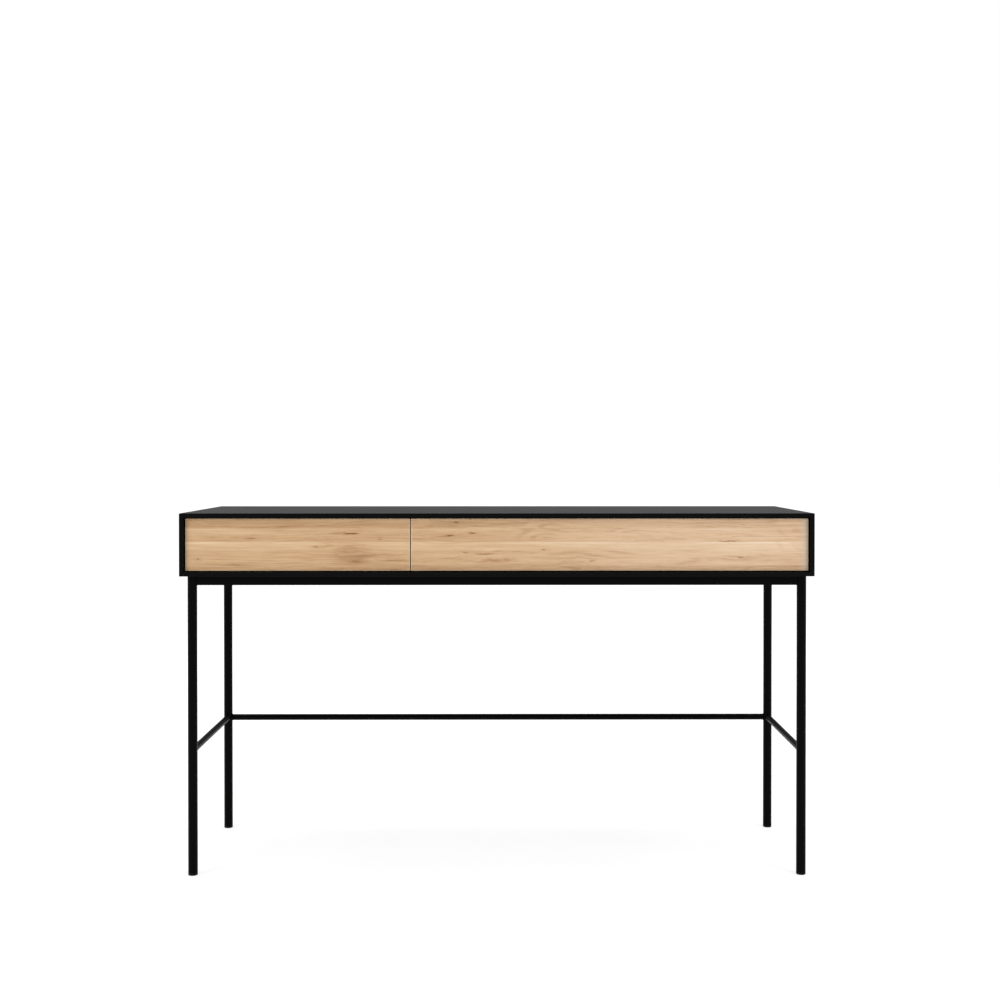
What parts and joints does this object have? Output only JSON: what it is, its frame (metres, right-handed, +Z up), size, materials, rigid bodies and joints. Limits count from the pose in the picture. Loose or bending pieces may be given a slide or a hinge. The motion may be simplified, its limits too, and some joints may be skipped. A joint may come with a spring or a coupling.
{
  "type": "writing desk with drawers",
  "caption": "Slim writing desk: a shallow black mitred case with a narrow and a wide oak drawer without handles, on a light frame of round black steel tube.",
  "frame": {"origin": "on the floor, under the middle of the case", "axes": "+X to the right seen from the front, along the length of the desk; the drawers open along -Y; +Z up"},
  "size_m": [1.46, 0.46, 0.84],
  "materials": {
    "frame_powder_coat": "satin black powder coat with a fine orange peel",
    "case_lacquer": "matt charcoal-black lacquer on board",
    "oak": "clear matt oil on pale natural oak, grain running across both fronts",
    "birch_plywood": "clear lacquered birch plywood with visible ply edges",
    "beech": "raw wood",
    "black_plastic": "fine moulded texture",
    "zinc_steel": "bright zinc plating on rolled steel",
    "zinc_screws": "bright zinc plating",
    "spring_steel": "drawn wire",
    "brass": "turned and knurled"
  },
  "bodies": {
    "case": {"front_left_leg": "frame_powder_coat", "front_right_leg": "frame_powder_coat", "back_left_leg": "frame_powder_coat", "back_right_leg": "frame_powder_coat", "front_rail": "frame_powder_coat", "back_rail": "frame_powder_coat", "left_rail": "frame_powder_coat", "right_rail": "frame_powder_coat", "left_stretcher": "frame_powder_coat", "right_stretcher": "frame_powder_coat", "back_stretcher": "frame_powder_coat", "foot_caps": "black_plastic", "frame_screws": "zinc_screws", "threaded_inserts": "brass", "top_panel": "case_lacquer", "bottom_panel": "case_lacquer", "left_side_panel": "case_lacquer", "right_side_panel": "case_lacquer", "back_panel": "case_lacquer", "divider_panel": "case_lacquer", "divider_dowels": "beech", "mitre_splines": "beech", "narrow_outer_slides": "zinc_steel", "wide_outer_slides": "zinc_steel", "case_slide_screws": "zinc_screws", "latch_housings": "black_plastic", "latch_screws": "zinc_screws", "latch_springs": "spring_steel"},
    "narrow_latch": {"narrow_plunger": "black_plastic"},
    "narrow_drawer": {"narrow_drawer_front": "oak", "narrow_box_front": "birch_plywood", "narrow_box_back": "birch_plywood", "narrow_box_left": "birch_plywood", "narrow_box_right": "birch_plywood", "narrow_box_bottom": "birch_plywood", "narrow_front_screws": "zinc_screws", "narrow_slide_screws": "zinc_screws", "narrow_inner_slides": "zinc_steel", "narrow_strike_plate": "zinc_steel"},
    "narrow_middle": {"narrow_middle_slides": "zinc_steel"},
    "narrow_outer_cages": {"narrow_outer_ball_cages": "zinc_steel"},
    "narrow_inner_cages": {"narrow_inner_ball_cages": "zinc_steel"},
    "wide_latch": {"wide_plungers": "black_plastic"},
    "wide_drawer": {"wide_drawer_front": "oak", "wide_box_front": "birch_plywood", "wide_box_back": "birch_plywood", "wide_box_left": "birch_plywood", "wide_box_right": "birch_plywood", "wide_box_bottom": "birch_plywood", "wide_front_screws": "zinc_screws", "wide_slide_screws": "zinc_screws", "wide_inner_slides": "zinc_steel", "wide_strike_plates": "zinc_steel"},
    "wide_middle": {"wide_middle_slides": "zinc_steel"},
    "wide_outer_cages": {"wide_outer_ball_cages": "zinc_steel"},
    "wide_inner_cages": {"wide_inner_ball_cages": "zinc_steel"}
  },
  "joints": [
    {"name": "narrow_latch_slide", "type": "slide", "parent": "case", "child": "narrow_latch", "axis": [0, -1, 0], "range_m": [-0.002, 0.018]},
    {"name": "narrow_drawer_slide", "type": "slide", "parent": "narrow_latch", "child": "narrow_drawer", "axis": [0, -1, 0], "range_m": [0, 0.332]},
    {"name": "narrow_middle_slide", "type": "slide", "parent": "case", "child": "narrow_middle", "axis": [0, -1, 0], "range_m": [0, 0.166]},
    {"name": "narrow_outer_cage_roll", "type": "slide", "parent": "case", "child": "narrow_outer_cages", "axis": [0, -1, 0], "range_m": [0, 0.083]},
    {"name": "narrow_inner_cage_roll", "type": "slide", "parent": "case", "child": "narrow_inner_cages", "axis": [0, -1, 0], "range_m": [0, 0.249]},
    {"name": "wide_latch_slide", "type": "slide", "parent": "case", "child": "wide_latch", "axis": [0, -1, 0], "range_m": [-0.002, 0.018]},
    {"name": "wide_drawer_slide", "type": "slide", "parent": "wide_latch", "child": "wide_drawer", "axis": [0, -1, 0], "range_m": [0, 0.332]},
    {"name": "wide_middle_slide", "type": "slide", "parent": "case", "child": "wide_middle", "axis": [0, -1, 0], "range_m": [0, 0.166]},
    {"name": "wide_outer_cage_roll", "type": "slide", "parent": "case", "child": "wide_outer_cages", "axis": [0, -1, 0], "range_m": [0, 0.083]},
    {"name": "wide_inner_cage_roll", "type": "slide", "parent": "case", "child": "wide_inner_cages", "axis": [0, -1, 0], "range_m": [0, 0.249]}
  ],
  "couplings": [
    {"joint": "narrow_middle_slide", "follows": "narrow_drawer_slide", "ratio": 0.5},
    {"joint": "narrow_outer_cage_roll", "follows": "narrow_drawer_slide", "ratio": 0.25},
    {"joint": "narrow_inner_cage_roll", "follows": "narrow_drawer_slide", "ratio": 0.75},
    {"joint": "wide_middle_slide", "follows": "wide_drawer_slide", "ratio": 0.5},
    {"joint": "wide_outer_cage_roll", "follows": "wide_drawer_slide", "ratio": 0.25},
    {"joint": "wide_inner_cage_roll", "follows": "wide_drawer_slide", "ratio": 0.75}
  ]
}
